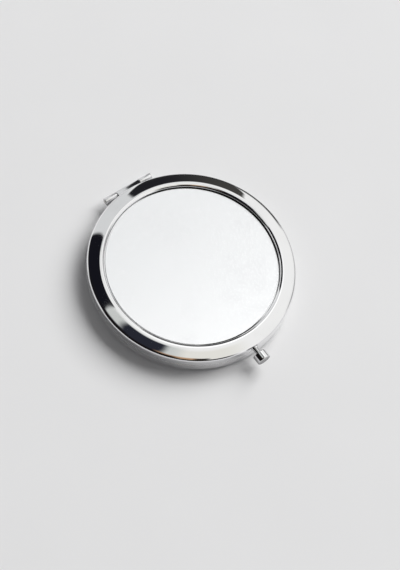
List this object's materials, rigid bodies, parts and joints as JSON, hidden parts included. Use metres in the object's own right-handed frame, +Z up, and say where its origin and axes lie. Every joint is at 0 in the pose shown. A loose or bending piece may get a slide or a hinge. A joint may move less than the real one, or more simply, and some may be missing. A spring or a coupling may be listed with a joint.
{
  "type": "compact mirror",
  "caption": "Round hinged pocket compact with a bevelled polished rim, recessed insert disc, plain and magnifying mirrors, and a push-button latch.",
  "frame": {"origin": "centre of the flat bottom face of the lower half", "axes": "+Z up through the closed case towards the insert disc, +Y towards the hinge, so the push button points along -Y"},
  "size_m": [0.07, 0.0778, 0.009],
  "materials": {
    "polished_case": "mirror polished plate on pressed sheet",
    "polished_disc": "polished",
    "bonding_film": "matt adhesive film",
    "bonding_pad": "matt foam",
    "mirror_glass": "silvered glass",
    "ring_plastic": "silver gloss",
    "latch_steel": "bright zinc"
  },
  "bodies": {
    "base": {"base_shell": "polished_case", "magnifier_pad": "bonding_pad", "magnifying_mirror": "mirror_glass", "base_ring": "ring_plastic", "base_hinge_leaf": "polished_case", "hinge_pin": "latch_steel", "catch_hook": "latch_steel"},
    "lid": {"lid_shell": "polished_case", "insert_film": "bonding_film", "insert_disc": "polished_disc", "mirror_pad": "bonding_pad", "plain_mirror": "mirror_glass", "lid_ring": "ring_plastic", "lid_hinge_leaf": "polished_case", "button_bush": "polished_case", "spring_bracket": "latch_steel", "button_spring": "latch_steel"},
    "button": {"push_button": "polished_case", "latch_plate": "latch_steel", "retaining_washer": "latch_steel"}
  },
  "joints": [
    {"name": "lid_hinge", "type": "hinge", "parent": "base", "child": "lid", "pos_m": [0, 0.03635, 0.0045], "axis": [-1, 0, 0], "range_deg": [0, 180]},
    {"name": "button_press", "type": "slide", "parent": "lid", "child": "button", "axis": [0, 1, 0], "range_m": [0, 0.001], "stiffness_N_per_m": 1500, "deforming": ["button_spring"]}
  ]
}
